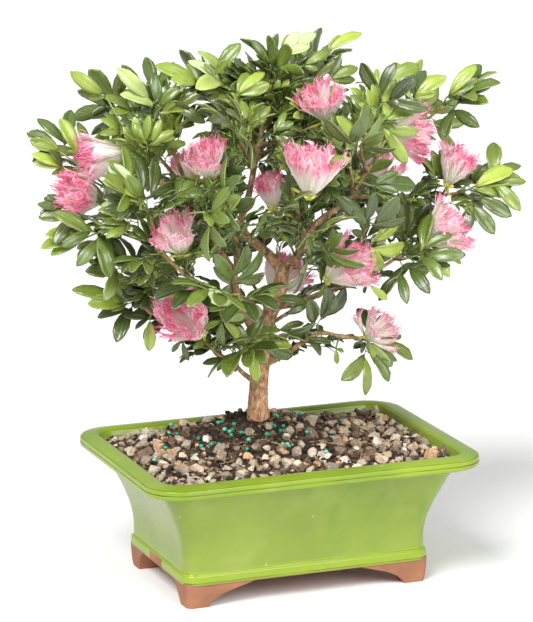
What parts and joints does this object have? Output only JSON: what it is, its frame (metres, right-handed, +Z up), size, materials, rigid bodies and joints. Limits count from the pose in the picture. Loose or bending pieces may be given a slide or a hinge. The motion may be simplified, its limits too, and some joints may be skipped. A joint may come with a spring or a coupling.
{
  "type": "powder puff bonsai",
  "caption": "Pot-grown powder puff tree in informal upright bonsai style, with compound leaves, pink stamen puffs and a footed rectangular glazed pot with gravel dressing.",
  "frame": {"origin": "under the middle of the whole object's box, on the surface that the pot's feet stand on", "axes": "+Z up; X along the pot's long side, +X to the right seen from the front; -Y is the side that the picture shows more of"},
  "size_m": [0.3218, 0.2412, 0.3373],
  "materials": {
    "glazed_pot": "glossy lime glaze with brown breaks at the edges, unglazed terracotta feet",
    "mesh_screen": "black plastic mesh",
    "soil": "damp dark bark and potting mix",
    "gravel": "dry matt gravel",
    "bark": "flaking tan bark",
    "bloom": "soft silky stamens, green-yellow at the base, white in the middle, pink at the ends",
    "leaf": "satin to glossy leaf skin"
  },
  "bodies": {
    "root": {"bloom_back_left": "bloom", "bloom_back_low": "bloom", "bloom_back_right": "bloom", "bloom_behind_leader": "bloom", "bloom_far_left_high": "bloom", "bloom_far_left_low": "bloom", "bloom_far_right_high": "bloom", "bloom_far_right_low": "bloom", "bloom_front_centre": "bloom", "bloom_left_centre": "bloom", "bloom_left_inner": "bloom", "bloom_lower_left": "bloom", "bloom_lower_right": "bloom", "bloom_right_high": "bloom", "bloom_right_middle": "bloom", "bloom_top_centre": "bloom", "drain_screen_left": "mesh_screen", "drain_screen_right": "mesh_screen", "gravel": "gravel", "pot": "glazed_pot", "shoot_back_high": "leaf", "shoot_back_high_right": "leaf", "shoot_back_left": "leaf", "shoot_back_left_high": "leaf", "shoot_back_low": "leaf", "shoot_back_low_left": "leaf", "shoot_back_low_right": "leaf", "shoot_back_middle": "leaf", "shoot_back_right": "leaf", "shoot_far_left": "leaf", "shoot_far_right": "leaf", "shoot_fork_front": "leaf", "shoot_high_front": "leaf", "shoot_high_right_front": "leaf", "shoot_left_bright": "leaf", "shoot_left_down": "leaf", "shoot_left_edge": "leaf", "shoot_left_front": "leaf", "shoot_left_low": "leaf", "shoot_low_front": "leaf", "shoot_lower_left": "leaf", "shoot_lower_right": "leaf", "shoot_lower_right_inner": "leaf", "shoot_middle_front": "leaf", "shoot_middle_left": "leaf", "shoot_right_arm": "leaf", "shoot_right_high": "leaf", "shoot_right_inner": "leaf", "shoot_right_spire": "leaf", "shoot_right_tall": "leaf", "shoot_right_upright": "leaf", "shoot_stem_front": "leaf", "shoot_top": "leaf", "shoot_top_left": "leaf", "shoot_top_left_inner": "leaf", "shoot_top_right": "leaf", "shoot_upper_left": "leaf", "shoot_upper_left_tall": "leaf", "soil": "soil", "trunk_and_branches": "bark"}
  },
  "joints": []
}
